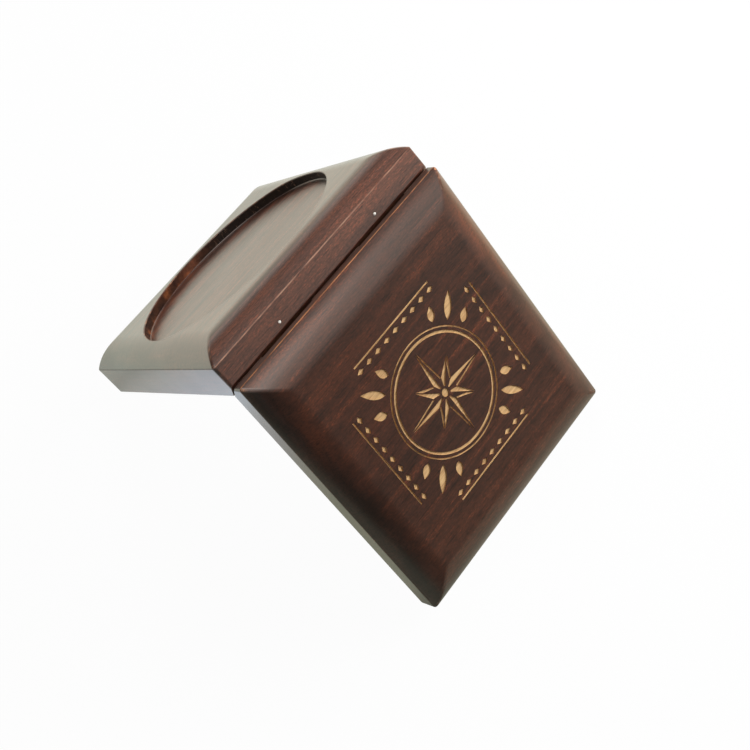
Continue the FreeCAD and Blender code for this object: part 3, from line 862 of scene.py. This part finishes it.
# Room: a white background to the eye, an even soft light all round, and in the varnish a dim studio.
# The studio is darkest low in front and lighter overhead, with a pale backdrop behind the case,
# a window on the right and a few dim sills and walls.
room = bpy.data.worlds.new("studio_room")
bpy.context.scene.world = room
room.use_nodes = True
room_tree = room.node_tree
room_tree.nodes.clear()
room_out = add_node(room_tree, "ShaderNodeOutputWorld")
room_white = add_node(room_tree, "ShaderNodeBackground", Color=(1.0, 1.0, 1.0, 1.0), Strength=1.0)
room_dim = add_node(room_tree, "ShaderNodeBackground", Strength=1.0)
room_light = add_node(room_tree, "ShaderNodeBackground", Color=(1.0, 0.98, 0.96, 1.0), Strength=0.035)
room_rays = add_node(room_tree, "ShaderNodeLightPath")
room_place = add_node(room_tree, "ShaderNodeTexCoord")
room_axes = add_node(room_tree, "ShaderNodeSeparateXYZ")
room_tree.links.new(room_place.outputs["Generated"], room_axes.inputs[0])


def room_patch(towards, edge, middle, colour):
    """A soft bright patch of the room, as the varnish mirrors it.

    Edge and middle are degrees off its centre: it starts at the edge and is full at the middle.
    """
    facing = add_node(room_tree, "ShaderNodeVectorMath", operation="DOT_PRODUCT")
    facing.inputs[1].default_value = Vector(towards).normalized()
    room_tree.links.new(room_place.outputs["Generated"], facing.inputs[0])
    fade = add_node(room_tree, "ShaderNodeMapRange", interpolation_type="SMOOTHSTEP")
    fade.inputs["From Min"].default_value = math.cos(math.radians(edge))
    fade.inputs["From Max"].default_value = math.cos(math.radians(middle))
    room_tree.links.new(facing.outputs["Value"], fade.inputs["Value"])
    return ramp(room_tree, fade.outputs["Result"], [(0.0, (0.0, 0.0, 0.0)), (1.0, colour)])


backdrop_rise = ramp(room_tree, room_axes.outputs["Z"], [(0.12, (1.0, 1.0, 1.0)), (0.42, (0.0, 0.0, 0.0))])
backdrop = room_patch((1.0, 1.0, 0.08), 66.0, 38.0, (1.0, 0.88, 0.80))
backdrop = blend(room_tree, "MULTIPLY", 1.0, backdrop, backdrop_rise)
right_window = room_patch((0.5, -0.3, 0.8), 38.0, 8.0, (0.56, 0.47, 0.41))
overhead_glow = room_patch((-0.28, -0.04, 1.0), 44.0, 12.0, (1.85, 1.70, 1.57))
front_sill = room_patch((0.7, -0.7, 0.06), 40.0, 10.0, (0.14, 0.12, 0.102))
upper_sill = room_patch((0.40, -0.78, 0.52), 18.0, 6.0, (0.14, 0.123, 0.112))
right_sill = room_patch((0.72, -0.60, 0.40), 30.0, 8.0, (0.30, 0.265, 0.24))
left_wall = room_patch((-0.9, 0.0, 0.25), 50.0, 10.0, (0.42, 0.36, 0.32))
room_glow = ramp(room_tree, room_axes.outputs["Z"], [
    (0.05, (0.045, 0.040, 0.036)), (0.3, (0.07, 0.061, 0.053)), (0.7, (0.36, 0.32, 0.29))])
for patch in (backdrop, right_window, overhead_glow, left_wall, front_sill, upper_sill, right_sill):
    room_glow = blend(room_tree, "ADD", 1.0, room_glow, patch)
room_tree.links.new(room_glow, room_dim.inputs["Color"])
room_mirror = add_node(room_tree, "ShaderNodeMixShader")
room_seen = add_node(room_tree, "ShaderNodeMixShader")
seen_rays = add_node(room_tree, "ShaderNodeMath", operation="MAXIMUM")
room_tree.links.new(room_rays.outputs["Is Camera Ray"], seen_rays.inputs[0])
room_tree.links.new(room_rays.outputs["Is Transmission Ray"], seen_rays.inputs[1])
room_tree.links.new(room_rays.outputs["Is Glossy Ray"], room_mirror.inputs["Fac"])
room_tree.links.new(room_light.outputs[0], room_mirror.inputs[1])
room_tree.links.new(room_dim.outputs[0], room_mirror.inputs[2])
room_tree.links.new(seen_rays.outputs[0], room_seen.inputs["Fac"])
room_tree.links.new(room_mirror.outputs[0], room_seen.inputs[1])
room_tree.links.new(room_white.outputs[0], room_seen.inputs[2])
room_tree.links.new(room_seen.outputs[0], room_out.inputs["Surface"])


# Lamps: one soft box from the front right, one from the back right and a weak fill from the left.
# They light the wood only. What the varnish mirrors is the room and the table.
LAMP_AIM = Vector((0.0, 0.0, 0.04))


def soft_box(name, place, width, power):
    """A square soft box turned to the case; power is in watts."""
    lamp = bpy.data.lights.new(name, "AREA")
    lamp.shape = "SQUARE"
    lamp.size = width
    lamp.energy = power
    stand = bpy.data.objects.new(name, lamp)
    bpy.context.scene.collection.objects.link(stand)
    stand.location = place
    stand.rotation_euler = (LAMP_AIM - Vector(place)).to_track_quat("-Z", "Y").to_euler()
    stand.visible_glossy = False


soft_box("front_right_box", (0.60, -0.24, 0.30), 0.45, 10.6)
soft_box("back_right_box", (0.65, 0.55, 0.6), 0.6, 9.0)
soft_box("left_fill", (-0.70, -0.10, 0.22), 0.6, 0.5)


# Camera: held high over the near front corner, looking down across the spine.
# Its place, its tilt and its lens are those that set the case as the photo shows it.
camera_data = bpy.data.cameras.new("photo_camera")
camera_data.sensor_width = 36.0
camera_data.lens = 62.9899
camera_data.clip_start = 0.01
camera = bpy.data.objects.new("photo_camera", camera_data)
bpy.context.scene.collection.objects.link(camera)
eye = Vector((-133.8047, -131.2914, 368.3966)) * MM
look = Vector((0.34437013, 0.30523904, -0.88782788))
upward = Vector((0.72408945, 0.51557974, 0.4581179))
rightward = look.cross(upward).normalized()
tilt = Matrix((rightward, rightward.cross(look), -look)).transposed()
camera.matrix_world = Matrix.Translation(eye) @ tilt.to_4x4()
bpy.context.scene.camera = camera
bpy.context.scene.view_settings.view_transform = "Standard"
